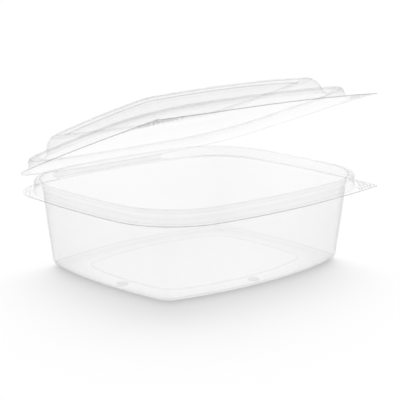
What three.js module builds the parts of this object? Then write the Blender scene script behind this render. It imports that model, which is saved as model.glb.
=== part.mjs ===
// A clear, empty hinged deli container: a tapered tray with bowed sides and a snap rim, a domed lid
// standing ajar, and the folded strip of sheet that hinges the two along the back. Millimetres, +Z up,
// the front at -Y and the hinge along X at +Y.
import * as THREE from 'three';

// Sheet the whole container is formed from
const SHEET = 0.45;

// Plan of the rim's inner edge: half extents at mid-side, bow of the long and short sides, corner radius
const RIM = { a: 80, b: 68.4, bowLong: 10.8, bowShort: 5.65, r: 36 };

// Plan of the foot that the tray stands on
const FOOT = { a: 71, b: 60, bowLong: 10.5, bowShort: 6.2, r: 10 };

// Plan that the raised floor panel is drawn in from: the foot's, with rounder corners
const FLOOR = { ...FOOT, r: 30 };

// Tray heights and the widths of its rim, measured outward from the rim's inner edge
const CREST_Z = 51.4;
const LEDGE_Z = 46.6;
const FLANGE_Z = 43.75;
const FLOOR_Z = 1.4;
const FOOT_RING = 17;
const FLOOR_MIDDLE = 36;
const RIM_OUT = 4.2;
const LEG_OUT = 4.5;
const FLANGE_OUT = 6.4;

// Corner radii of the flanges: the front corners of the lid and one of the tray run out to a lifting tab
const BACK_CORNER = 28;
const PLAIN_CORNER = 42;
const TAB_CORNER = 6;

// Tabs at the front corners, by side, -1 for the left one and 1 for the right one, and how far the tip
// reaches past its corner: out to the side, to the front and up
const LID_TABS = [[-1, new THREE.Vector3(0, 9, 0)], [1, new THREE.Vector3(4.5, 6, -1)]];
const TRAY_TABS = [[1, new THREE.Vector3(-0.5, 3, 0)]];

// Lid, measured from its own flange when shut
const LID_FLANGE_Z = 46.4;
const LID_LEG_OUT = 5.7;
const LID_BEAD = 6.6;
const LID_VALLEY = 5.0;
const DOME = 17.1;
const RECESS = 15.4;
const DOME_IN = 14;
const PANEL_IN = 19;

// Twist of the lid: how far its front right corner droops and its front left corner lifts
const LID_TWIST = 1.1;

// Hinge line and how far the lid stands open
const HINGE_Y = 78.3;
const HINGE_Z = 44.85;
const HINGE_HALF = 42.5;
const HINGE_R = 0.4;
const HINGE_GAP = 0.35;
const OPEN_DEG = 20.6;

// Points along half a side and round a corner of each ring
const N_SIDE = 5;
const N_CORNER = 6;
const N_RING = 4 * (2 * N_SIDE + N_CORNER);

// The container stands centred over the origin in depth, with the lid at its angle
const SHIFT_Y = -1.95;

// Quarter of a bowed outline, from (a, 0) to (0, b): a side arc, a corner arc and a side arc
function quarter(plan, r) {
  const rBack = (plan.a ** 2 + plan.bowLong ** 2) / (2 * plan.bowLong);
  const rSide = (plan.b ** 2 + plan.bowShort ** 2) / (2 * plan.bowShort);
  const back = new THREE.Vector2(0, plan.b - rBack);
  const side = new THREE.Vector2(plan.a - rSide, 0);
  const span = side.clone().sub(back);
  const d = span.length();
  const along = ((rBack - r) ** 2 - (rSide - r) ** 2 + d * d) / (2 * d);
  const high = Math.sqrt(Math.max((rBack - r) ** 2 - along * along, 0));
  const normal = new THREE.Vector2(-span.y, span.x).divideScalar(d);
  const foot = back.clone().addScaledVector(span, along / d);
  const options = [1, -1].map((s) => foot.clone().addScaledVector(normal, s * high));
  const corner = options.sort((p, q) => q.x + q.y - p.x - p.y)[0];
  const tSide = corner.clone().sub(side).angle();
  const tBack = corner.clone().sub(back).angle();
  const arcs = [
    [new THREE.ArcCurve(side.x, side.y, rSide, 0, tSide), N_SIDE],
    [new THREE.ArcCurve(corner.x, corner.y, r, tSide, tBack), N_CORNER],
    [new THREE.ArcCurve(back.x, back.y, rBack, tBack, Math.PI / 2), N_SIDE],
  ];
  const points = arcs.flatMap(([arc, n]) => arc.getPoints(n).slice(0, -1));
  return [...points, new THREE.Vector2(0, plan.b)];
}

// Closed outline, counter-clockwise from (a, 0); the radii are of the back right, back left, front left
// and front right corners
function outline(plan, radii = [plan.r, plan.r, plan.r, plan.r]) {
  const flip = (points, sx, sy) => points.map((p) => new THREE.Vector2(p.x * sx, p.y * sy));
  const turned = (points) => points.slice(1).reverse();
  return [
    ...quarter(plan, radii[0]).slice(0, -1),
    ...flip(turned(quarter(plan, radii[1])), -1, 1),
    ...flip(quarter(plan, radii[2]).slice(0, -1), -1, -1),
    ...flip(turned(quarter(plan, radii[3])), 1, -1),
  ];
}

// Plan grown outward from another, keeping its sides parallel
const grown = (plan, by) => ({ ...plan, a: plan.a + by, b: plan.b + by, r: Math.max(plan.r + by, 3) });

// Plan part way up the tray wall, 0 at the foot and 1 at the rim
function wallPlan(t) {
  const plan = {};
  for (const key of Object.keys(RIM)) {
    plan[key] = THREE.MathUtils.lerp(FOOT[key], RIM[key], t);
  }
  return plan;
}

// One ring of a shell: an outline at a height
const ring = (plan, z, radii) => outline(plan, radii).map((p) => new THREE.Vector3(p.x, p.y, z));

// Flange edge whose back is pulled out to a straight edge along the hinge, and whose front corners are
// drawn out to tabs
function flangeRing(plan, z, radii, hingeY, tabs) {
  const points = ring(plan, z, radii);
  for (const [side, reach] of tabs) {
    const tip = (N_RING * 3) / 4 + (side * N_RING) / 8;
    for (let k = 1 - N_SIDE; k < N_SIDE; k += 1) {
      const pull = 1 - Math.abs(k) / N_SIDE;
      points[tip + k].x += side * reach.x * pull;
      points[tip + k].y -= reach.y * pull;
      points[tip + k].z += reach.z * pull;
    }
  }
  const half = N_SIDE;
  const middle = N_RING / 4;
  for (let k = -half; k <= half; k += 1) {
    const p = points[middle + k];
    const side = Math.sign(-k);
    const steps = half - Math.abs(k);
    if (steps === 0) {
      p.set(side * (HINGE_HALF + 0.8), backEdge(plan, HINGE_HALF + 0.8), z);
    } else {
      p.set((side * HINGE_HALF * (half - steps)) / (half - 1), hingeY, z);
    }
  }
  return points;
}

// Height in Y of a plan's back side at a given x
function backEdge(plan, x) {
  const rBack = (plan.a ** 2 + plan.bowLong ** 2) / (2 * plan.bowLong);
  return plan.b - rBack + Math.sqrt(rBack ** 2 - x ** 2);
}

// Closed skin through a list of rings, capped at both ends by a fan
function loft(rings, startZ, endZ) {
  const vertices = rings.flatMap((points) => points.flatMap((p) => [p.x, p.y, p.z]));
  const n = N_RING;
  const start = vertices.length / 3;
  vertices.push(0, 0, startZ, 0, 0, endZ);
  const index = [];
  for (let j = 0; j < n; j += 1) {
    const k = (j + 1) % n;
    index.push(start, j, k);
    for (let i = 0; i + 1 < rings.length; i += 1) {
      const [p, q] = [i * n, (i + 1) * n];
      index.push(p + j, q + j, q + k, p + j, q + k, p + k);
    }
    const last = (rings.length - 1) * n;
    index.push(start + 1, last + k, last + j);
  }
  const geometry = new THREE.BufferGeometry();
  geometry.setAttribute('position', new THREE.Float32BufferAttribute(vertices, 3));
  geometry.setIndex(index);
  geometry.computeVertexNormals();
  return geometry;
}

// Tray: the upper skin from the middle of the floor out to the flange, then the under skin back again
function trayGeometry() {
  const s = SHEET;
  const radii = [BACK_CORNER, BACK_CORNER, PLAIN_CORNER, TAB_CORNER];
  const flange = grown(RIM, FLANGE_OUT);
  const edge = HINGE_Y - HINGE_R - HINGE_GAP;
  const upper = [
    ring(grown(FLOOR, -FLOOR_MIDDLE), FLOOR_Z),
    ring(grown(FLOOR, -FOOT_RING - 2.2), FLOOR_Z),
    ring(grown(FLOOR, -FOOT_RING), FLOOR_Z - 0.5),
    ring(grown(FLOOR, -FOOT_RING + 1.6), s),
    ring(grown(FOOT, -2.6), s),
    ring(grown(FOOT, -1.0), s + 0.7),
    ring(grown(wallPlan(0.07), -s), 3.2),
    ring(grown(wallPlan(0.5), -s), 24.5),
    ring(grown(wallPlan(0.93), -s), LEDGE_Z - 0.9),
    ring(grown(RIM, -0.25), LEDGE_Z),
    ring(RIM, CREST_Z - 1),
    ring(grown(RIM, 0.9), CREST_Z),
    ring(grown(RIM, RIM_OUT - 1), CREST_Z),
    ring(grown(RIM, RIM_OUT), CREST_Z - 1.1),
    ring(grown(RIM, LEG_OUT - 0.1), FLANGE_Z + 0.6),
    ring(grown(RIM, LEG_OUT + 0.45), FLANGE_Z),
    flangeRing(flange, FLANGE_Z, radii, edge, TRAY_TABS),
  ];
  const under = [
    flangeRing(flange, FLANGE_Z - s, radii, edge, TRAY_TABS),
    ring(grown(RIM, LEG_OUT - 0.1), FLANGE_Z - s),
    ring(grown(RIM, LEG_OUT - 0.65), FLANGE_Z),
    ring(grown(RIM, RIM_OUT - s - 0.1), CREST_Z - 1.3),
    ring(grown(RIM, RIM_OUT - 1.15), CREST_Z - s),
    ring(grown(RIM, 1.1), CREST_Z - s),
    ring(grown(RIM, s), CREST_Z - 1.1),
    ring(grown(RIM, s - 0.1), LEDGE_Z - 0.35),
    ring(wallPlan(0.93), LEDGE_Z - 1.25),
    ring(wallPlan(0.5), 24.3),
    ring(wallPlan(0.07), 3.0),
    ring(grown(FOOT, -0.35), 0.75),
    ring(grown(FOOT, -2.2), 0),
    ring(grown(FLOOR, -FOOT_RING + 1.3), 0),
    ring(grown(FLOOR, -FOOT_RING - 0.4), FLOOR_Z - 0.5 - s),
    ring(grown(FLOOR, -FOOT_RING - 2.4), FLOOR_Z - s),
    ring(grown(FLOOR, -FLOOR_MIDDLE), FLOOR_Z - s),
  ];
  return loft([...upper, ...under], FLOOR_Z, FLOOR_Z - s);
}

// Lid when shut: the upper skin from the middle of the top panel out to the flange, then back below
function lidGeometry() {
  const s = SHEET;
  const z = LID_FLANGE_Z;
  const radii = [BACK_CORNER, BACK_CORNER, TAB_CORNER, TAB_CORNER];
  const flange = grown(RIM, FLANGE_OUT);
  const edge = HINGE_Y - HINGE_R - HINGE_GAP;
  const panel = { ...RIM, r: 22 };
  const upper = [
    ring(grown(panel, -45), z + RECESS + 0.5),
    ring(grown(panel, -PANEL_IN - 0.6), z + RECESS),
    ring(grown(panel, -PANEL_IN + 1), z + DOME - 0.4),
    ring(grown(panel, -PANEL_IN + 1.7), z + DOME),
    ring(grown(panel, -DOME_IN - 1.2), z + DOME - 0.1),
    ring(grown(panel, -DOME_IN + 1.6), z + DOME - 1),
    ring(grown(panel, -DOME_IN + 4.4), z + DOME - 4.6),
    ring(grown(RIM, -5.2), z + LID_VALLEY + 1.5),
    ring(grown(RIM, -4.0), z + LID_VALLEY),
    ring(grown(RIM, -2.4), z + LID_VALLEY),
    ring(grown(RIM, -1.3), z + LID_BEAD - 0.2),
    ring(grown(RIM, 0.2), z + LID_BEAD),
    ring(grown(RIM, LID_LEG_OUT - 2), z + LID_BEAD),
    ring(grown(RIM, LID_LEG_OUT - 0.8), z + LID_BEAD - 1.2),
    ring(grown(RIM, LID_LEG_OUT - 0.1), z + 0.6),
    ring(grown(RIM, LID_LEG_OUT + 0.3), z),
    flangeRing(flange, z, radii, edge, LID_TABS),
  ];
  const under = [
    flangeRing(flange, z - s, radii, edge, LID_TABS),
    ring(grown(RIM, LID_LEG_OUT - 0.15), z - s),
    ring(grown(RIM, LID_LEG_OUT - 0.6), z),
    ring(grown(RIM, LID_LEG_OUT - 0.8 - s), z + LID_BEAD - 1.4),
    ring(grown(RIM, LID_LEG_OUT - 2.2), z + LID_BEAD - s),
    ring(grown(RIM, 0.3), z + LID_BEAD - s),
    ring(grown(RIM, -0.9), z + LID_BEAD - 0.2 - s),
    ring(grown(RIM, -2.1), z + LID_VALLEY - s),
    ring(grown(RIM, -4.2), z + LID_VALLEY - s),
    ring(grown(RIM, -5.65), z + LID_VALLEY + 1.35),
    ring(grown(panel, -DOME_IN + 4.0), z + DOME - 4.8),
    ring(grown(panel, -DOME_IN + 1.3), z + DOME - 1.35),
    ring(grown(panel, -DOME_IN - 1.4), z + DOME - s - 0.1),
    ring(grown(panel, -PANEL_IN + 2), z + DOME - s),
    ring(grown(panel, -PANEL_IN + 1.4), z + DOME - 0.4 - s),
    ring(grown(panel, -PANEL_IN - 0.3), z + RECESS - s),
    ring(grown(panel, -45), z + RECESS + 0.5 - s),
  ];
  const rings = [...upper, ...under];
  for (const p of rings.flat()) {
    p.z -= LID_TWIST * (p.x / RIM.a) * ((HINGE_Y - p.y) / (HINGE_Y + RIM.b));
  }
  return loft(rings, z + RECESS + 0.5, z + RECESS + 0.5 - s);
}

// Fold of sheet along the hinge line
function hingeGeometry() {
  const section = new THREE.Shape().absarc(0, 0, HINGE_R, 0, 2 * Math.PI);
  const geometry = new THREE.ExtrudeGeometry(section, {
    depth: 2 * HINGE_HALF,
    bevelEnabled: false,
    curveSegments: 6,
  });
  return geometry.translate(0, 0, -HINGE_HALF).rotateY(Math.PI / 2);
}

const clear = (tint) => new THREE.MeshStandardMaterial({ color: tint, roughness: 0.08, metalness: 0 });

function named(name, geometry, tint) {
  const mesh = new THREE.Mesh(geometry, clear(tint));
  mesh.name = name;
  return mesh;
}

const container = new THREE.Group();
container.position.y = SHIFT_Y;

const tray = named('tray', trayGeometry(), 0xe6eaea);
container.add(tray);

const hinge = named('hinge', hingeGeometry(), 0xe2e6e6);
hinge.position.set(0, HINGE_Y, HINGE_Z);
container.add(hinge);

const lidPivot = new THREE.Group();
lidPivot.position.set(0, HINGE_Y, HINGE_Z);
lidPivot.rotation.x = THREE.MathUtils.degToRad(-OPEN_DEG);
const lid = named('lid', lidGeometry(), 0xe8ecec);
lid.position.set(0, -HINGE_Y, -HINGE_Z);
lidPivot.add(lid);
container.add(lidPivot);

export default container;
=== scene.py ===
"""Looks of a clear, empty hinged deli container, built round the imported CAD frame.

Lengths are in millimetres, as in the CAD source, and meshes are turned into metres last. The few lengths that are in
metres say so.
"""
import math

import bpy
import numpy as np
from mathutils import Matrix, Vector

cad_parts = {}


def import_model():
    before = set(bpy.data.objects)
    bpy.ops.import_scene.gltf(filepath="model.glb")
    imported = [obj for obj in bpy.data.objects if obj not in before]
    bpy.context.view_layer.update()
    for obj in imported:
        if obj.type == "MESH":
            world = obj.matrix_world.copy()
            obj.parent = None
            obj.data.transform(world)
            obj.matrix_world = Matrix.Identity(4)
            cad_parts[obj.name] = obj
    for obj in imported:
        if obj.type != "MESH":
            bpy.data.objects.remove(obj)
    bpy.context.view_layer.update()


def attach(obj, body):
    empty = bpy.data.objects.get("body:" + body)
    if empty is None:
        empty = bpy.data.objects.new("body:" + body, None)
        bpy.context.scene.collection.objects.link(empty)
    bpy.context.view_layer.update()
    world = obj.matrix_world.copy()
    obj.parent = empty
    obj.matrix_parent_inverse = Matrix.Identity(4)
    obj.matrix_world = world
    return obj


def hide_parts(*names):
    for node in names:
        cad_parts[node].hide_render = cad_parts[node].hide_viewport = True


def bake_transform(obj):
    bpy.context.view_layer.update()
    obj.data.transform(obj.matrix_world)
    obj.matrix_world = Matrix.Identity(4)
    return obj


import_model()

# Formed sheet, rim, foot and heights, the same values as the CAD part
SHEET = 0.45
RIM = {"a": 80.0, "b": 68.4, "bow_long": 10.8, "bow_short": 5.65, "r": 36.0}
FOOT = {"a": 71.0, "b": 60.0, "bow_long": 10.5, "bow_short": 6.2, "r": 10.0}
CREST_Z = 51.4
LEDGE_Z = 46.6
FLANGE_Z = 43.75
FLOOR_Z = 1.4
FLOOR = {**FOOT, "r": 30.0}
FOOT_RING = 17.0
FLOOR_MIDDLE = 36.0
RIM_OUT = 4.2
LEG_OUT = 4.5
FLANGE_OUT = 6.4
BACK_CORNER = 28.0
PLAIN_CORNER = 42.0
TAB_CORNER = 6.0
LID_TABS = {-1: (0.0, 9.0, 0.0), 1: (4.5, 6.0, -1.0)}
TRAY_TABS = {1: (-0.5, 3.0, 0.0)}
LID_FLANGE_Z = 46.4
LID_LEG_OUT = 5.7
LID_BEAD = 6.6
LID_VALLEY = 5.0
DOME = 17.1
RECESS = 15.4
DOME_IN = 14.0
PANEL_IN = 19.0
LID_TWIST = 1.1
HINGE_Y = 78.3
HINGE_Z = 44.85
HINGE_HALF = 42.5
EDGE_IN = 0.75
EDGE_Y = HINGE_Y - EDGE_IN
EDGE_STEP = 0.8
PANEL_CORNER = 22.0
OPEN_DEG = 20.6
SHIFT_Y = -1.95

# Extra grey haze at the corners, painted shade for their darker look, as a share of that at mid-side
CORNER_HAZE_AND_SHADE = 0.9

# Painted shade at the folds and on the cut edges: at the back right it has this share of its darkness at the front
# left, and how fast it changes between the two
SOFT_FOLD_SHADE = 0.12
SOFT_RATE = 0.45

# Points along half a side and round a corner of a ring: FINE times the CAD part's
FINE = 5
N_SIDE = 5 * FINE
N_CORNER = 6 * FINE
N_RING = 4 * (2 * N_SIDE + N_CORNER)

# Rings between a profile's innermost ring and the middle
MIDDLE_RINGS = 6

# Edges sharper than this stay sharp
SHELL_SHARP = math.radians(60)
STRIP_SHARP = math.radians(50)

# How far from its tip a tab still lifts or droops, and how much the tip is rounded, in points of a ring
TAB_REACH = 26.0
TAB_ROUND = 1.6

# Greatest share of the way to the next ring that a fillet may take
FILLET_SHARE = 0.46

# How far past the hinge's ends the flange's edge still counts as folded
FOLD_MARGIN = 0.3

# Hinge strip: thickness at its edges, the share that it loses at the fold, how far it laps onto the flanges, and its
# points round the fold and along it
FOLD_THICK = 0.36
FOLD_THINNING = 0.45
FOLD_LAP = 0.35
STRIP_TURNS = 25
STRIP_STEPS = 61

# Grip texture: rows and columns tried round a tip, distance of rows as a share of the pitch, how far a pip strays
# from its row, its least radius as a share of the greatest, and how clear it stays of the flange's edge and the leg
PIP_ROWS = range(-8, 5)
PIP_COLUMNS = range(-12, 13)
PIP_ROW_SHARE = 0.8
PIP_STRAY = 0.35
PIP_LEAST = 0.7
PIP_OFF_EDGE = 0.15
PIP_OFF_LEG = 0.3

# Sides of a pip and its levels as shares of radius and height
PIP_SIDES = 10
PIP_LEVELS = ((1.0, -0.12), (0.96, 0.02), (0.7, 0.62), (0.36, 0.93))

# Lugs: height, half length along the wall, half width, how deep they reach into the floor, how far their middles
# stand in from the foot's edge, and where along the left and the front side they are
LUG_HEIGHT = 1.5
LUG_LONG = 2.8
LUG_WIDE = 3.2
LUG_SUNK = 0.1
LUG_IN = 8.4
LUG_LEFT_Y = -9.5
LUG_FRONT_X = -3.7

# How square a lug's plan is, from 0, square, to 1, round
LUG_ROUND = 0.6

# Plastic's own roughness and refraction index, and the roughness of its gloss
BODY_ROUGHNESS = 0.25
PLASTIC_IOR = 1.46
GLOSS_ROUGHNESS = 0.06

# Flow marks in the sheet, their depth in metres
FLOW_SCALE = 28.0
FLOW_DETAIL = 3.0
FLOW_ROUGHNESS = 0.55
FLOW_BUMP = 0.12
FLOW_DEPTH = 0.0006

# Powers of the grazing haze and of the veil over hazed sheet, whose haze is partly painted shade
GRAZING_POWER = 8.0
VEIL_POWER = 3.0

# Share of the sheet's haze and gloss that keeps light from the floor: the rest of it goes on through
SHADOW_SHARE = 0.3

# Floor: how pale it is, and its half width and how far it lies under the object in metres
FLOOR_TONE = 0.95
FLOOR_HALF = 6.0
FLOOR_DROP = 0.00003

# Camera, its distance in metres, and the way on the floor from it past the object, where the light stands
CAMERA_AZIMUTH = math.radians(-42.36)
CAMERA_ELEVATION = math.radians(12.94)
CAMERA_TARGET = (3.4, -1.97, 35.78)
CAMERA_DISTANCE = 0.81259
CAMERA_LENS = 126.744
BEHIND = np.array([-math.sin(CAMERA_AZIMUTH), math.cos(CAMERA_AZIMUTH), 0.0])

# Light: fill, key and how broad the key is, and what the gloss sees, a grey room with a white backdrop behind the
# object, given by how far round from it (cosine) the backdrop begins and is full
AMBIENT = 0.22
KEY = 0.80
KEY_ELEVATION = math.radians(41)
KEY_BREADTH = math.radians(60)
ROOM_GREY = 0.38
BACKDROP_BEGINS = 0.45
BACKDROP_FULL = 0.85

# Shadow card: how far it stands inside the foot and inside the wall, which part of the wall's height its upper
# outline follows, its lowest and highest height, and how far round from the front it goes (cosine)
CARD_FOOT_IN = 2.3
CARD_WALL_IN = 0.9
CARD_WALL_T = 0.9
CARD_LOW_Z = 0.1
CARD_TOP_Z = 44.0
CARD_ROUND = 0.3

# Its shade at the foot, its shade up the wall, and the height by which the one has faded to the other
CARD_SHADE = 0.55
CARD_WALL_SHADE = 0.23
CARD_FADE_Z = 16.0


# Plans and rings

def side_radius(half, bow):
    """Radius of a bowed side from its half length and its bow."""
    return (half**2 + bow**2) / (2 * bow)


def quarter(plan, r):
    """Quarter of a bowed outline, from (a, 0) to (0, b)."""
    r_back = side_radius(plan["a"], plan["bow_long"])
    r_side = side_radius(plan["b"], plan["bow_short"])
    back = np.array([0.0, plan["b"] - r_back])
    side = np.array([plan["a"] - r_side, 0.0])
    span = side - back
    d = float(np.hypot(*span))
    along = ((r_back - r) ** 2 - (r_side - r) ** 2 + d * d) / (2 * d)
    high = math.sqrt(max((r_back - r) ** 2 - along**2, 0.0))
    normal = np.array([-span[1], span[0]]) / d
    corner = max((back + span * along / d + s * high * normal for s in (1, -1)), key=lambda p: p[0] + p[1])
    t_side = math.atan2(*(corner - side)[::-1])
    t_back = math.atan2(*(corner - back)[::-1])
    arcs = (
        (side, r_side, 0.0, t_side, N_SIDE),
        (corner, r, t_side, t_back, N_CORNER),
        (back, r_back, t_back, math.pi / 2, N_SIDE),
    )
    rows = []
    for centre, radius, start, end, n in arcs:
        t = np.linspace(start, end, n + 1)[:-1]
        rows.append(centre + radius * np.stack([np.cos(t), np.sin(t)], 1))
    rows.append(np.array([[0.0, plan["b"]]]))
    return np.concatenate(rows)


def outline(plan, radii=None):
    """Closed outline, counter-clockwise from (a, 0), with corner radii for back right, back left, front left and
    front right."""
    radii = radii or (plan["r"],) * 4
    first, second, third, fourth = (quarter(plan, r) for r in radii)
    return np.concatenate(
        [
            first[:-1],
            second[1:][::-1] * (-1, 1),
            third[:-1] * (-1, -1),
            fourth[1:][::-1] * (1, -1),
        ]
    )


def grown(plan, by):
    """Plan grown outward, its sides kept parallel."""
    return {**plan, "a": plan["a"] + by, "b": plan["b"] + by, "r": max(plan["r"] + by, 3.0)}


def wall_plan(t):
    """Plan part way up the tray's wall, 0 at the foot and 1 at the rim."""
    return {k: FOOT[k] + (RIM[k] - FOOT[k]) * t for k in RIM}


def ring(plan, z, radii=None):
    """Plan's outline at height z."""
    points = outline(plan, radii)
    return np.column_stack([points, np.full(len(points), z)])


def back_edge(plan, x):
    """How far back a plan's back side lies at x."""
    r_back = side_radius(plan["a"], plan["bow_long"])
    return plan["b"] - r_back + math.sqrt(r_back**2 - x**2)


def flange_ring(plan, z, radii, tabs):
    """Flange edge, straight along the hinge, with front corners (-1 left, 1 right) drawn out to tabs by their reach
    out to the side, to the front and up."""
    points = ring(plan, z, radii)
    plain = points.copy()
    for side, reach in tabs.items():
        tip = 3 * N_RING // 4 + side * N_RING // 8
        for k in range(1 - N_SIDE, N_SIDE):
            pull = 1 - (math.hypot(k, TAB_ROUND) - TAB_ROUND) / N_SIDE
            points[tip + k] += np.array([side * reach[0], -reach[1], reach[2]]) * max(pull, 0.0)
    middle = N_RING // 4
    corner_x = HINGE_HALF + EDGE_STEP
    for side in (-1, 1):
        far = plain[middle - side * 6 * FINE, 0] * side
        stretch = plain[middle - side * np.arange(0, 8 * FINE)]
        for k in range(0, 6 * FINE):
            at = points[middle - side * k]
            if k <= 4 * FINE:
                at[:2] = side * HINGE_HALF * k / (4 * FINE), EDGE_Y
            elif k <= 5 * FINE:
                t = (k - 4 * FINE) / FINE
                low = back_edge(plan, corner_x)
                at[:2] = side * (HINGE_HALF + EDGE_STEP * t), EDGE_Y + (low - EDGE_Y) * t * t * (3 - 2 * t)
            else:
                x = corner_x + (far - corner_x) * (k - 5 * FINE) / FINE
                at[:2] = side * x, np.interp(x, stretch[:, 0] * side, stretch[:, 1])
    return points


# Shells

def filleted(profile, steps=5):
    """Rows of (ring, fold shade, haze) from a profile of (ring, fillet radius, fold shade, haze), each ring but the
    first and the last rounded by its radius. The fold shade is painted shade, darkest in the middle of the rounding;
    the haze is grey haze that is partly painted shade."""
    out = [(profile[0][0], 0.0, profile[0][3])]
    for before, here, after in zip(profile, profile[1:], profile[2:]):
        at, radius, fold, haze_and_shade = here
        to_before, to_after = before[0] - at, after[0] - at
        long_before = np.linalg.norm(to_before, axis=1, keepdims=True)
        long_after = np.linalg.norm(to_after, axis=1, keepdims=True)
        cut = np.minimum(radius, FILLET_SHARE * np.minimum(long_before, long_after))
        start = at + to_before * cut / long_before
        end = at + to_after * cut / long_after
        for u in np.linspace(0, 1, steps):
            bent = (1 - u) ** 2 * start + 2 * u * (1 - u) * at + u**2 * end
            out.append((bent, fold * math.sin(math.pi * u) ** 2, haze_and_shade))
    out.append((profile[-1][0], 0.0, profile[-1][3]))
    return out


def split_long(rows, most=5.0):
    """Rows with more between those that lie far apart."""
    out = [rows[0]]
    for (a, _, haze_and_shade_a), (b, fold_b, haze_and_shade_b) in zip(rows, rows[1:]):
        far = float(np.median(np.linalg.norm(b - a, axis=1)))
        n = max(1, math.ceil(far / most))
        for k in range(1, n + 1):
            share = k / n
            out.append((a + (b - a) * share, fold_b if k == n else 0.0, haze_and_shade_a + (haze_and_shade_b - haze_and_shade_a) * share))
    return out


def to_centre(inner, count, z):
    """Rows that fill the innermost ring from its middle, where they are at height z."""
    shares = np.linspace(0, 1, count + 1)[1:-1]
    rings = [np.column_stack([inner[:, :2] * s, z + (inner[:, 2] - z) * s * s]) for s in shares]
    return [(points, 0.0, 0.0) for points in rings]


def normals_of(grid):
    """Unit normals of a grid of rings that run counter-clockwise from the middle outward, upward on a flat."""
    around = np.roll(grid, -1, axis=1) - np.roll(grid, 1, axis=1)
    out = np.gradient(grid, axis=0)
    n = np.cross(out, around)
    n /= np.linalg.norm(n, axis=2, keepdims=True)
    return n


def corner_shares():
    """How near each point of a ring is to a corner's middle, 1 there and 0 halfway along the sides."""
    quarter_points = N_RING // 4
    along = np.arange(N_RING) % quarter_points
    return np.clip(1 - np.abs(along - quarter_points / 2) / (0.5 * quarter_points), 0, 1) ** 1.5


def fold_shade_shares():
    """Darkness of the painted shade at folds and cut edges at each point of a ring, full at the front left."""
    points = outline(RIM)
    back_right = np.clip(0.5 + SOFT_RATE * (points[:, 0] / RIM["a"] + points[:, 1] / RIM["b"]), 0, 1)
    return 1 + (SOFT_FOLD_SHADE - 1) * back_right * back_right * (3 - 2 * back_right)


def mesh_object(name, vertices, faces):
    """Smooth object from vertices in millimetres."""
    mesh = bpy.data.meshes.new(name)
    mesh.from_pydata((np.asarray(vertices, float) * 0.001).tolist(), [], faces)
    mesh.validate(clean_customdata=False)
    mesh.shade_smooth()
    obj = bpy.data.objects.new(name, mesh)
    bpy.context.scene.collection.objects.link(obj)
    return obj


def add_density(mesh, name, values):
    """Gives every vertex a number for the material to read."""
    layer = mesh.attributes.new(name, "FLOAT", "POINT")
    layer.data.foreach_set("value", np.asarray(values, np.float32))


def shell(name, profile_rows, place):
    """Closed thin shell under a skin given from the middle outward: the skin, the cut edge and the under side. The
    edge's faces take the second material, apart from those in the fold of the hinge."""
    grid = np.stack([points for points, _, _ in profile_rows])
    normal = normals_of(grid)
    under = grid - normal * SHEET
    under[-1] = grid[-1] - (0, 0, SHEET)
    n = N_RING
    rows = [*grid, *under[::-1]]
    # Painted shade in the folds, weaker towards the back right, and grey haze, partly painted shade, with more at
    # the corners
    folds = np.concatenate([fold * fold_shade_shares() for _, fold, _ in profile_rows])
    corner = 1 + CORNER_HAZE_AND_SHADE * corner_shares()
    hazes_and_shades = np.concatenate([haze_and_shade * corner for _, _, haze_and_shade in profile_rows])
    middle = grid[0].mean(0)
    low = under[0].mean(0)
    vertices = np.concatenate([np.concatenate(rows), middle[None], low[None]])
    both = [np.concatenate([v, v.reshape(-1, n)[::-1].ravel(), [0.0, 0.0]]) for v in (folds, hazes_and_shades)]
    faces, cut = [], []
    start, last = n * len(rows), n * (len(rows) - 1)
    folded = (grid[-1][:, 1] > 0) & (np.abs(grid[-1][:, 0]) < HINGE_HALF + FOLD_MARGIN)
    for j in range(n):
        k = (j + 1) % n
        faces.append((start, j, k))
        cut.append(0)
        faces.append((start + 1, last + k, last + j))
        cut.append(0)
    for i in range(len(rows) - 1):
        p, q = i * n, (i + 1) * n
        is_edge = i == len(grid) - 1
        for j in range(n):
            k = (j + 1) % n
            faces.append((p + j, q + j, q + k, p + k))
            cut.append(int(is_edge and not folded[j]))
    obj = mesh_object(name, place(vertices), faces)
    mesh = obj.data
    mesh.polygons.foreach_set("material_index", cut)
    add_density(mesh, "fold_shade_density", both[0])
    add_density(mesh, "haze_and_shade_density", both[1])
    # Painted shade for the cut edge, darkest at the front left
    add_density(mesh, "edge_shade_density", [*np.tile(fold_shade_shares(), len(rows)), 0.0, 0.0])
    mesh.set_sharp_from_angle(angle=SHELL_SHARP)
    return obj


def place_tray(points):
    """Shifts the tray to where it stands in the frame."""
    return np.asarray(points, float) + (0, SHIFT_Y, 0)


def place_lid(points):
    """Twists the shut lid a little, turns it about the hinge line to how it stands in the frame, and shifts it."""
    p = np.array(points, float)
    p[:, 2] -= LID_TWIST * (p[:, 0] / RIM["a"]) * ((HINGE_Y - p[:, 1]) / (HINGE_Y + RIM["b"]))
    c, s = math.cos(math.radians(OPEN_DEG)), math.sin(math.radians(OPEN_DEG))
    y, z = p[:, 1] - HINGE_Y, p[:, 2] - HINGE_Z
    return np.column_stack([p[:, 0], HINGE_Y + y * c + z * s + SHIFT_Y, HINGE_Z - y * s + z * c])


# Tray

TRAY_RADII = (BACK_CORNER, BACK_CORNER, PLAIN_CORNER, TAB_CORNER)
LID_RADII = (BACK_CORNER, BACK_CORNER, TAB_CORNER, TAB_CORNER)
tray_edge = flange_ring(grown(RIM, FLANGE_OUT), FLANGE_Z, TRAY_RADII, TRAY_TABS)
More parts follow.
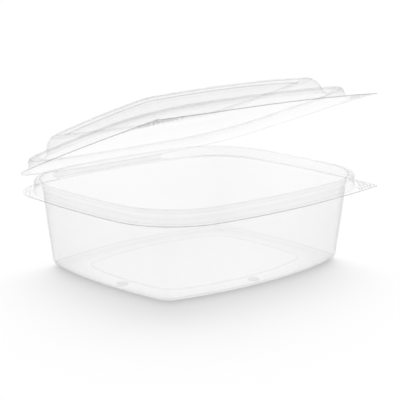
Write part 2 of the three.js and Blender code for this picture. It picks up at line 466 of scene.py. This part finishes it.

# Profiles run from the middle outward: ring, fillet radius, how dark its fold shows as painted shade, and grey haze,
# partly painted shade
tray_profile = [
    (ring(grown(FLOOR, -FLOOR_MIDDLE), FLOOR_Z), 0, 0, 0.0),
    (ring(grown(FLOOR, -FOOT_RING - 2.2), FLOOR_Z), 0.8, 0.1, 0.0),
    (ring(grown(FLOOR, -FOOT_RING), FLOOR_Z - 0.5), 0.9, 0.1, 0.0),
    (ring(grown(FLOOR, -FOOT_RING + 1.6), SHEET), 1.0, 0.5, 0.0),
    (ring(grown(FOOT, -2.6), SHEET), 0.9, 0.2, 0.5),
    (ring(grown(FOOT, -1.0), SHEET + 0.7), 1.0, 0.8, 0.9),
    (ring(grown(wall_plan(0.07), -SHEET), 3.2), 1.6, 0.0, 0.9),
    (ring(grown(wall_plan(0.5), -SHEET), 24.5), 3.0, 0, 0.8),
    (ring(grown(wall_plan(0.93), -SHEET), LEDGE_Z - 0.9), 0.5, 0.1, 0.6),
    (ring(grown(RIM, -0.25), LEDGE_Z), 0.5, 0.1, 0.1),
    (ring(RIM, CREST_Z - 1), 0.8, 0.1, 0.0),
    (ring(grown(RIM, 0.9), CREST_Z), 0.6, 2.6, 0.0),
    (ring(grown(RIM, RIM_OUT - 1), CREST_Z), 0.9, 0.1, 0.3),
    (ring(grown(RIM, RIM_OUT), CREST_Z - 1.1), 0.9, 0.1, 0.6),
    (ring(grown(RIM, LEG_OUT - 0.1), FLANGE_Z + 0.6), 0.5, 0.15, 0.5),
    (ring(grown(RIM, LEG_OUT + 0.45), FLANGE_Z), 0.5, 0.15, 0.1),
    (tray_edge, 0, 0, 0.1),
]
rows = filleted(tray_profile)
rows = to_centre(rows[0][0], MIDDLE_RINGS, FLOOR_Z) + split_long(rows)
tray = shell("tray_sheet", rows, place_tray)

# Lid

panel = {**RIM, "r": PANEL_CORNER}
z = LID_FLANGE_Z
lid_edge = flange_ring(grown(RIM, FLANGE_OUT), z, LID_RADII, LID_TABS)
lid_profile = [
    (ring(grown(panel, -45), z + RECESS + 0.5), 0, 0, 0.0),
    (ring(grown(panel, -PANEL_IN - 0.6), z + RECESS), 0.6, 1.8, 0.0),
    (ring(grown(panel, -PANEL_IN + 1), z + DOME - 0.4), 0.8, 0.1, 0.1),
    (ring(grown(panel, -PANEL_IN + 1.7), z + DOME), 0.6, 0.1, 0.1),
    (ring(grown(panel, -DOME_IN - 1.2), z + DOME - 0.1), 0.8, 2.4, 0.3),
    (ring(grown(panel, -DOME_IN + 1.6), z + DOME - 1), 1.3, 1.0, 0.5),
    (ring(grown(panel, -DOME_IN + 4.4), z + DOME - 4.6), 2.2, 0.1, 0.5),
    (ring(grown(RIM, -5.2), z + LID_VALLEY + 1.5), 1.2, 0.0, 0.2),
    (ring(grown(RIM, -4.0), z + LID_VALLEY), 0.9, 0.0, 0.1),
    (ring(grown(RIM, -2.4), z + LID_VALLEY), 0.8, 0.0, 0.1),
    (ring(grown(RIM, -1.3), z + LID_BEAD - 0.2), 0.8, 0.05, 0.3),
    (ring(grown(RIM, 0.2), z + LID_BEAD), 0.9, 0.1, 0.4),
    (ring(grown(RIM, LID_LEG_OUT - 2), z + LID_BEAD), 0.7, 2.4, 0.5),
    (ring(grown(RIM, LID_LEG_OUT - 0.8), z + LID_BEAD - 1.2), 0.9, 0.4, 0.6),
    (ring(grown(RIM, LID_LEG_OUT - 0.1), z + 0.6), 0.6, 0.1, 0.1),
    (ring(grown(RIM, LID_LEG_OUT + 0.3), z), 0.5, 0.1, 0.1),
    (lid_edge, 0, 0, 0.1),
]
rows = filleted(lid_profile)
rows = to_centre(rows[0][0], MIDDLE_RINGS, z + RECESS + 0.7) + split_long(rows)
lid = shell("lid_sheet", rows, place_lid)

# Folded hinge strip

def hinge_strip():
    """Folded strip that joins the back edges of the two flanges, round the back of the hinge line. Comes with the
    middles of its two edges, in metres."""
    c, sn = math.cos(math.radians(OPEN_DEG)), math.sin(math.radians(OPEN_DEG))
    low = np.array([EDGE_Y - HINGE_Y, FLANGE_Z - SHEET / 2 - HINGE_Z])
    shut = np.array([EDGE_Y - HINGE_Y, LID_FLANGE_Z - SHEET / 2 - HINGE_Z])
    high = np.array([shut[0] * c + shut[1] * sn, -shut[0] * sn + shut[1] * c])
    a0, a1 = math.atan2(low[1], low[0]), math.atan2(high[1], high[0])
    r0, r1 = np.hypot(*low), np.hypot(*high)
    turns = np.linspace(0, 1, STRIP_TURNS)
    angle, radius = a0 + (a1 - a0) * turns, r0 + (r1 - r0) * turns
    mid = np.column_stack([radius * np.cos(angle), radius * np.sin(angle)])
    mid[0] += (-FOLD_LAP, 0)
    mid[-1] += np.array([-FOLD_LAP * c, FOLD_LAP * sn])
    tangent = np.gradient(mid, axis=0)
    tangent /= np.linalg.norm(tangent, axis=1, keepdims=True)
    out = np.column_stack([tangent[:, 1], -tangent[:, 0]])
    thick = FOLD_THICK * (1 - FOLD_THINNING * np.sin(np.pi * turns))[:, None]
    loop = np.concatenate([mid + out * thick / 2, (mid - out * thick / 2)[::-1]])
    xs = np.linspace(-HINGE_HALF, HINGE_HALF, STRIP_STEPS)
    m = len(loop)
    vertices = np.concatenate([np.column_stack([np.full(m, x), loop]) for x in xs])
    vertices[:, 1] += HINGE_Y + SHIFT_Y
    vertices[:, 2] += HINGE_Z
    faces = []
    for i in range(len(xs) - 1):
        for j in range(m):
            k = (j + 1) % m
            faces.append((i * m + j, i * m + k, (i + 1) * m + k, (i + 1) * m + j))
    end = (len(xs) - 1) * m
    for j in range(m // 2 - 1):
        quad = (j, j + 1, m - 2 - j, m - 1 - j)
        faces.append(quad[::-1])
        faces.append(tuple(end + v for v in quad))
    obj = mesh_object("hinge_strip", vertices, faces)
    obj.data.set_sharp_from_angle(angle=STRIP_SHARP)
    # Painted shade over the strip, as at a fold, and grey haze that is partly painted shade
    add_density(obj.data, "fold_shade_density", np.full(len(vertices), 0.12))
    add_density(obj.data, "haze_and_shade_density", np.full(len(vertices), 0.5))
    start = (0, (HINGE_Y + low[0] + SHIFT_Y) / 1000, (HINGE_Z + low[1]) / 1000)
    stop = (0, (HINGE_Y + high[0] + SHIFT_Y) / 1000, (HINGE_Z + high[1]) / 1000)
    return obj, start, stop


hinge, fold_start, fold_end = hinge_strip()

# Grip pips on tabs and corners

def inside(points, polygon):
    """Whether each point lies in a closed polygon."""
    x, y = points[:, 0, None], points[:, 1, None]
    a, b = polygon, np.roll(polygon, -1, axis=0)
    crosses = (a[:, 1] > y) != (b[:, 1] > y)
    at = a[:, 0] + (y - a[:, 1]) * (b[:, 0] - a[:, 0]) / (b[:, 1] - a[:, 1] + 1e-12)
    return (crosses & (x < at)).sum(1) % 2 == 1


def edge_distance(points, polygon):
    """Distance from each point to a closed polygon's nearest vertex or edge."""
    a, b = polygon, np.roll(polygon, -1, axis=0)
    d = b - a
    w = points[:, None] - a
    t = np.clip((w * d).sum(2) / np.maximum((d * d).sum(1), 1e-9), 0, 1)
    return np.linalg.norm(w - t[..., None] * d, axis=2).min(1)


def pips(name, edge, inner, tips, z, place, span, pitch=2.5, radius=0.9, height=0.42, lift=0.0, sides=(1,)):
    """Low uneven domes in staggered rows on a flange, within the span of each tip and between the flange's edge and
    the leg, on its top (1), its under side (-1) or both. They follow the tab, whose tip is lifted by lift."""
    spots = []
    for tip in tips:
        outward = tip / np.hypot(*tip)
        along = np.array([outward[1], -outward[0]])
        for row in PIP_ROWS:
            for col in PIP_COLUMNS:
                spot = tip + outward * row * pitch * PIP_ROW_SHARE + along * (col + 0.5 * (row % 2)) * pitch
                if np.hypot(*(spot - tip)) < span:
                    spots.append(spot)
    spread = np.random.default_rng(len(name))
    spots = np.array(spots) + spread.uniform(-PIP_STRAY, PIP_STRAY, (len(spots), 2))
    sizes = radius * spread.uniform(PIP_LEAST, 1.0, len(spots))
    keep = inside(spots, edge[:, :2]) & ~inside(spots, inner[:, :2])
    keep &= edge_distance(spots, edge[:, :2]) > radius + PIP_OFF_EDGE
    keep &= edge_distance(spots, inner[:, :2]) > radius + PIP_OFF_LEG
    n, vertices, faces = PIP_SIDES, [], []
    for (x, y), size in zip(spots[keep], sizes[keep]):
        nearest = min(tips, key=lambda tip: np.hypot(*(tip - (x, y))))
        to_leg = edge_distance(np.array([nearest]), inner[:, :2])[0]
        from_leg = edge_distance(np.array([[x, y]]), inner[:, :2])[0]
        away = np.hypot(*(nearest - (x, y)))
        rise = lift * min(from_leg / to_leg, 1) * max(0.0, 1 - away / TAB_REACH)
        for sign in sides:
            top = z + rise - (SHEET if sign < 0 else 0.0)
            base = len(vertices)
            for share, up in PIP_LEVELS:
                for k in range(n):
                    t = sign * 2 * math.pi * k / n
                    vertices.append(
                        (x + size * share * math.cos(t), y + size * share * math.sin(t), top + sign * height * up)
                    )
            vertices.append((x, y, top + sign * height))
            faces.append(tuple(base + k for k in range(n))[::-1])
            for i in range(len(PIP_LEVELS) - 1):
                for k in range(n):
                    j = (k + 1) % n
                    p, q = base + i * n, base + (i + 1) * n
                    faces.append((p + k, p + j, q + j, q + k))
            crown = base + (len(PIP_LEVELS) - 1) * n
            for k in range(n):
                faces.append((crown + k, crown + (k + 1) % n, base + len(PIP_LEVELS) * n))
    obj = mesh_object(name, place(np.array(vertices)), faces)
    # Painted shade over the pips, as at folds, and grey haze that is partly painted shade
    add_density(obj.data, "fold_shade_density", np.full(len(vertices), 0.8))
    add_density(obj.data, "haze_and_shade_density", np.full(len(vertices), 0.5))
    return obj


FRONT_LEFT, FRONT_RIGHT = 5 * N_RING // 8, 7 * N_RING // 8
BACK_LEFT, BACK_RIGHT = 3 * N_RING // 8, N_RING // 8
lid_leg = ring(grown(RIM, LID_LEG_OUT + 0.3), 0)
tray_leg = ring(grown(RIM, LEG_OUT + 0.45), 0)
lid_tips = lid_edge[[FRONT_LEFT, FRONT_RIGHT], :2]
lid_grip = pips(
    "lid_grip", lid_edge, lid_leg, lid_tips[:1], LID_FLANGE_Z, place_lid, 19.0, pitch=2.8, height=0.55, sides=(1, -1)
)
lid_grip_right = pips(
    "lid_grip_right", lid_edge, lid_leg, lid_tips[1:], LID_FLANGE_Z, place_lid, 18.0, height=0.3, lift=LID_TABS[1][2]
)
tray_tips = tray_edge[[FRONT_RIGHT], :2]
tray_grip = pips("tray_grip", tray_edge, tray_leg, tray_tips, FLANGE_Z, place_tray, 19.0, height=0.3)
back_tips = tray_edge[[BACK_LEFT, BACK_RIGHT], :2]
back_grip = pips(
    "tray_back_grip", tray_edge, tray_leg, back_tips, FLANGE_Z, place_tray, 22.0, pitch=2.4, radius=0.65, height=0.2
)

# Stacking lugs in the foot channel

def lugs():
    """Two small rounded lugs in the foot channel, near the middle of the left and the front side."""
    centres = [
        ((-FOOT["a"] + LUG_IN, LUG_LEFT_Y), (1, 0)),
        ((LUG_FRONT_X, -FOOT["b"] + LUG_IN), (0, 1)),
    ]
    n_long, n_up = 20, 7
    base_z = SHEET - LUG_SUNK
    vertices, faces = [], []
    for (cx, cy), (ox, oy) in centres:
        base = len(vertices)
        for i in range(n_up):
            lift = math.sin(math.pi / 2 * i / n_up)
            share = math.cos(math.pi / 2 * i / n_up) ** 0.5
            for k in range(n_long):
                t = 2 * math.pi * k / n_long
                u = math.copysign(abs(math.cos(t)) ** LUG_ROUND, math.cos(t)) * LUG_LONG * share
                v = math.copysign(abs(math.sin(t)) ** LUG_ROUND, math.sin(t)) * LUG_WIDE * share
                vertices.append((cx + u * oy + v * ox, cy + u * ox + v * oy, base_z + LUG_HEIGHT * lift))
        vertices.append((cx, cy, base_z + LUG_HEIGHT))
        turned = bool(oy)
        loop = tuple(base + k for k in range(n_long))
        faces.append(loop[::-1] if turned else loop)
        for i in range(n_up - 1):
            for k in range(n_long):
                j = (k + 1) % n_long
                p, q = base + i * n_long, base + (i + 1) * n_long
                quad = (p + k, p + j, q + j, q + k)
                faces.append(quad if turned else quad[::-1])
        top = base + (n_up - 1) * n_long
        for k in range(n_long):
            tri = (top + k, top + (k + 1) % n_long, base + n_up * n_long)
            faces.append(tri if turned else tri[::-1])
    obj = mesh_object("tray_lugs", place_tray(np.array(vertices)), faces)
    # Painted shade over the lugs, as at folds, and grey haze that is partly painted shade
    add_density(obj.data, "fold_shade_density", np.full(len(vertices), 0.6))
    add_density(obj.data, "haze_and_shade_density", np.full(len(vertices), 0.5))
    return obj


tray_lugs = lugs()

# Materials

def nodes_of(owner):
    """Empty node tree of a material or a world."""
    owner.use_nodes = True
    tree = owner.node_tree
    tree.nodes.clear()
    return tree


def add(tree, kind, **values):
    """New node with its settings."""
    node = tree.nodes.new(kind)
    for name, value in values.items():
        setattr(node, name, value)
    return node


def maths(tree, operation, a, b=0.0, clamp=False):
    """Output of a new math node on two sockets or numbers."""
    node = add(tree, "ShaderNodeMath", operation=operation, use_clamp=clamp)
    for socket, value in zip(node.inputs, (a, b)):
        if isinstance(value, bpy.types.NodeSocket):
            tree.links.new(value, socket)
        else:
            socket.default_value = value
    return node.outputs[0]


def mixed(tree, share, first, second):
    """Mix of two shaders, with the second one's share from a socket."""
    node = add(tree, "ShaderNodeMixShader")
    tree.links.new(share, node.inputs[0])
    tree.links.new(first.outputs[0], node.inputs[1])
    tree.links.new(second.outputs[0], node.inputs[2])
    return node


def clear_plastic(
    name, haze=0.005, fold=0.22, haze_and_shade=0.022, veil=0.09, grazing=0.14, tone=0.3, film=0.008, sheen=0.03, edge=0.0
):
    """Clear formed sheet: sight goes through it, with a faint grey haze and flow marks that darkens towards grazing
    sight, painted shade in the folds, grey haze that is partly painted shade where the mesh asks for it, also darker
    towards grazing sight, and a film of gloss that grows towards grazing sight. A cut edge has a darkness of its
    own, with painted shade on it that is darkest at the front left."""
    material = bpy.data.materials.new(name)
    tree = nodes_of(material)
    out = add(tree, "ShaderNodeOutputMaterial")
    place = add(tree, "ShaderNodeTexCoord")
    flow = add(tree, "ShaderNodeTexNoise")
    flow.inputs["Scale"].default_value = FLOW_SCALE
    flow.inputs["Detail"].default_value = FLOW_DETAIL
    flow.inputs["Roughness"].default_value = FLOW_ROUGHNESS
    tree.links.new(place.outputs["Object"], flow.inputs["Vector"])
    # Painted shade in the folds, and grey haze that is partly painted shade, as the mesh gives them
    fold_shade = add(tree, "ShaderNodeAttribute", attribute_name="fold_shade_density", attribute_type="GEOMETRY")
    stretch = add(tree, "ShaderNodeAttribute", attribute_name="haze_and_shade_density", attribute_type="GEOMETRY")
    rim = add(tree, "ShaderNodeLayerWeight")
    rim.inputs["Blend"].default_value = 0.5
    bump = add(tree, "ShaderNodeBump")
    bump.inputs["Strength"].default_value = FLOW_BUMP
    bump.inputs["Distance"].default_value = FLOW_DEPTH
    tree.links.new(flow.outputs["Fac"], bump.inputs["Height"])
    steep = maths(tree, "POWER", rim.outputs["Facing"], GRAZING_POWER)
    # Grey haze, partly painted shade, thicker towards grazing sight
    thick = maths(tree, "MULTIPLY_ADD", maths(tree, "POWER", rim.outputs["Facing"], VEIL_POWER), veil)
    thick.node.inputs[2].default_value = haze_and_shade
    parts = (
        maths(tree, "MULTIPLY", steep, grazing),
        maths(tree, "MULTIPLY", fold_shade.outputs["Fac"], fold),
        maths(tree, "MULTIPLY", stretch.outputs["Fac"], thick),
        maths(tree, "MULTIPLY", flow.outputs["Fac"], haze * 2),
    )
    # Painted shade on the cut edge, darkest at the front left
    if edge:
        cut = add(tree, "ShaderNodeAttribute", attribute_name="edge_shade_density", attribute_type="GEOMETRY")
        parts += (maths(tree, "MULTIPLY", cut.outputs["Fac"], edge),)
    total = parts[0]
    for part in parts[1:]:
        total = maths(tree, "ADD", total, part, clamp=True)
    open_part = add(tree, "ShaderNodeBsdfTransparent")
    open_part.inputs["Color"].default_value = (1, 1, 1, 1)
    body = add(tree, "ShaderNodeBsdfPrincipled")
    body.inputs["Base Color"].default_value = (tone, tone, tone, 1)
    body.inputs["Roughness"].default_value = BODY_ROUGHNESS
    body.inputs["IOR"].default_value = PLASTIC_IOR
    gloss = add(tree, "ShaderNodeBsdfGlossy")
    gloss.inputs["Roughness"].default_value = GLOSS_ROUGHNESS
    tree.links.new(bump.outputs["Normal"], gloss.inputs["Normal"])
    tree.links.new(bump.outputs["Normal"], body.inputs["Normal"])
    share = maths(tree, "MULTIPLY_ADD", steep, sheen, clamp=True)
    share.node.inputs[2].default_value = film
    path = add(tree, "ShaderNodeLightPath")
    blocked = maths(tree, "MULTIPLY_ADD", path.outputs["Is Shadow Ray"], SHADOW_SHARE - 1)
    blocked.node.inputs[2].default_value = 1.0
    share = maths(tree, "MULTIPLY", share, blocked)
    total = maths(tree, "MULTIPLY", total, blocked)
    clear = mixed(tree, total, open_part, body)
    shown = mixed(tree, share, clear, gloss)
    tree.links.new(shown.outputs[0], out.inputs["Surface"])
    return material


sheet_look = clear_plastic("clear_sheet")
cut_look = clear_plastic("cut_edge", haze=0.05, fold=0.0, haze_and_shade=0.0, tone=0.12, film=0.05, edge=0.42)
grip_look = clear_plastic("grip_texture", haze=0.03, fold=0.07, grazing=0.16, tone=0.2)
lug_look = clear_plastic("moulded_lug", haze=0.02, fold=0.05, veil=0.03, grazing=0.03)

for piece in (tray, lid):
    piece.data.materials.append(sheet_look)
    piece.data.materials.append(cut_look)
hinge.data.materials.append(sheet_look)
for piece in (lid_grip, lid_grip_right, tray_grip, back_grip):
    piece.data.materials.append(grip_look)
tray_lugs.data.materials.append(lug_look)

# Riding

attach(tray, "base")
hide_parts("tray")
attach(lid, "cover")
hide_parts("lid")
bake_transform(hinge)
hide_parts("hinge")
for piece in (tray_grip, back_grip, tray_lugs):
    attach(piece, "base")
for piece in (lid_grip, lid_grip_right):
    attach(piece, "cover")

# Floor, light and camera

def floor():
    """Plain pale floor."""
    mesh = bpy.data.meshes.new("floor")
    h = FLOOR_HALF
    mesh.from_pydata([(-h, -h, 0), (h, -h, 0), (h, h, 0), (-h, h, 0)], [], [(0, 1, 2, 3)])
    obj = bpy.data.objects.new("floor", mesh)
    obj.location = (0, 0, -FLOOR_DROP)
    bpy.context.scene.collection.objects.link(obj)
    material = bpy.data.materials.new("floor_paper")
    tree = nodes_of(material)
    out = add(tree, "ShaderNodeOutputMaterial")
    surface = add(tree, "ShaderNodeBsdfDiffuse")
    surface.inputs["Color"].default_value = (FLOOR_TONE, FLOOR_TONE, FLOOR_TONE, 1)
    tree.links.new(surface.outputs[0], out.inputs["Surface"])
    mesh.materials.append(material)


def world():
    """Even fill light, a white surround for sight, and for the gloss a pale backdrop in a greyer room."""
    studio = bpy.data.worlds.new("studio")
    bpy.context.scene.world = studio
    tree = nodes_of(studio)
    out = add(tree, "ShaderNodeOutputWorld")
    path = add(tree, "ShaderNodeLightPath")
    way = add(tree, "ShaderNodeTexCoord")
    facing = add(tree, "ShaderNodeVectorMath", operation="DOT_PRODUCT")
    tree.links.new(way.outputs["Generated"], facing.inputs[0])
    facing.inputs[1].default_value = tuple(BEHIND)
    level = add(tree, "ShaderNodeMapRange", interpolation_type="SMOOTHSTEP")
    tree.links.new(facing.outputs["Value"], level.inputs["Value"])
    level.inputs["From Min"].default_value = BACKDROP_BEGINS
    level.inputs["From Max"].default_value = BACKDROP_FULL
    level.inputs["To Min"].default_value = ROOM_GREY
    level.inputs["To Max"].default_value = 1.0
    surround, fill, room = (add(tree, "ShaderNodeBackground") for _ in range(3))
    for node, strength in ((surround, 1.0), (fill, AMBIENT), (room, 1.0)):
        node.inputs["Color"].default_value = (1, 1, 1, 1)
        node.inputs["Strength"].default_value = strength
    tree.links.new(level.outputs["Result"], room.inputs["Color"])
    seen = mixed(tree, path.outputs["Is Camera Ray"], fill, surround)
    pick = mixed(tree, path.outputs["Is Glossy Ray"], seen, room)
    tree.links.new(pick.outputs[0], out.inputs["Surface"])


def key_light():
    """Broad soft light from behind the object, so that the clear sheet throws its pale shadow to the front."""
    data = bpy.data.lights.new("key", "SUN")
    data.energy = math.pi * KEY / FLOOR_TONE / math.sin(KEY_ELEVATION)
    data.angle = KEY_BREADTH
    obj = bpy.data.objects.new("key", data)
    obj.visible_glossy = False
    c, up = math.cos(KEY_ELEVATION), math.sin(KEY_ELEVATION)
    towards = Vector((BEHIND[0] * c, BEHIND[1] * c, up))
    obj.rotation_mode = "QUATERNION"
    obj.rotation_quaternion = (-towards).to_track_quat("-Z", "Y")
    bpy.context.scene.collection.objects.link(obj)


def shadow_card():
    """Card just inside the near walls, from the foot up to under the rim, that only shadow rays meet. It stands for
    the light that the real foot and walls bend away from the floor, which sheet that sight passes straight through
    doesn't do, and it is densest at the foot."""
    low, high = outline(grown(FOOT, -CARD_FOOT_IN)), outline(grown(wall_plan(CARD_WALL_T), -CARD_WALL_IN))
    n = len(low)
    rows = [np.column_stack([low, np.full(n, CARD_LOW_Z)]), np.column_stack([high, np.full(n, CARD_TOP_Z)])]
    vertices = np.concatenate(rows) + (0, SHIFT_Y, 0)
    way = np.roll(low, -1, axis=0) - low
    front = (way[:, 1] * BEHIND[0] - way[:, 0] * BEHIND[1]) / np.linalg.norm(way, axis=1) < CARD_ROUND
    faces = [(j, (j + 1) % n, n + (j + 1) % n, n + j) for j in range(n) if front[j]]
    obj = mesh_object("shadow_card", vertices, faces)
    for name in ("camera", "diffuse", "glossy", "transmission", "volume_scatter"):
        setattr(obj, "visible_" + name, False)
    material = bpy.data.materials.new("shadow_card")
    tree = nodes_of(material)
    out = add(tree, "ShaderNodeOutputMaterial")
    place = add(tree, "ShaderNodeTexCoord")
    split = add(tree, "ShaderNodeSeparateXYZ")
    tree.links.new(place.outputs["Object"], split.inputs[0])
    fade = add(tree, "ShaderNodeMapRange", interpolation_type="SMOOTHSTEP")
    tree.links.new(split.outputs[2], fade.inputs["Value"])
    fade.inputs["From Min"].default_value = 0.0
    fade.inputs["From Max"].default_value = CARD_FADE_Z / 1000
    fade.inputs["To Min"].default_value = CARD_SHADE
    fade.inputs["To Max"].default_value = CARD_WALL_SHADE
    solid = add(tree, "ShaderNodeBsdfDiffuse")
    solid.inputs["Color"].default_value = (0, 0, 0, 1)
    through = add(tree, "ShaderNodeBsdfTransparent")
    shade = mixed(tree, fade.outputs["Result"], through, solid)
    tree.links.new(shade.outputs[0], out.inputs["Surface"])
    obj.data.materials.append(material)


def camera():
    """Camera where the photograph was taken from."""
    level = math.cos(CAMERA_ELEVATION)
    back = np.array([-BEHIND[0] * level, -BEHIND[1] * level, math.sin(CAMERA_ELEVATION)])
    data = bpy.data.cameras.new("camera")
    data.lens = CAMERA_LENS
    data.sensor_width = 36.0
    data.clip_start = 0.01
    data.clip_end = 100.0
    obj = bpy.data.objects.new("camera", data)
    obj.location = np.array(CAMERA_TARGET) / 1000 + back * CAMERA_DISTANCE
    obj.rotation_mode = "QUATERNION"
    obj.rotation_quaternion = Vector(-back).to_track_quat("-Z", "Y")
    bpy.context.scene.collection.objects.link(obj)
    bpy.context.scene.camera = obj


floor()
world()
key_light()
shadow_card()
camera()

scene = bpy.context.scene
scene.view_settings.view_transform = "Standard"
scene.cycles.transparent_max_bounces = 64
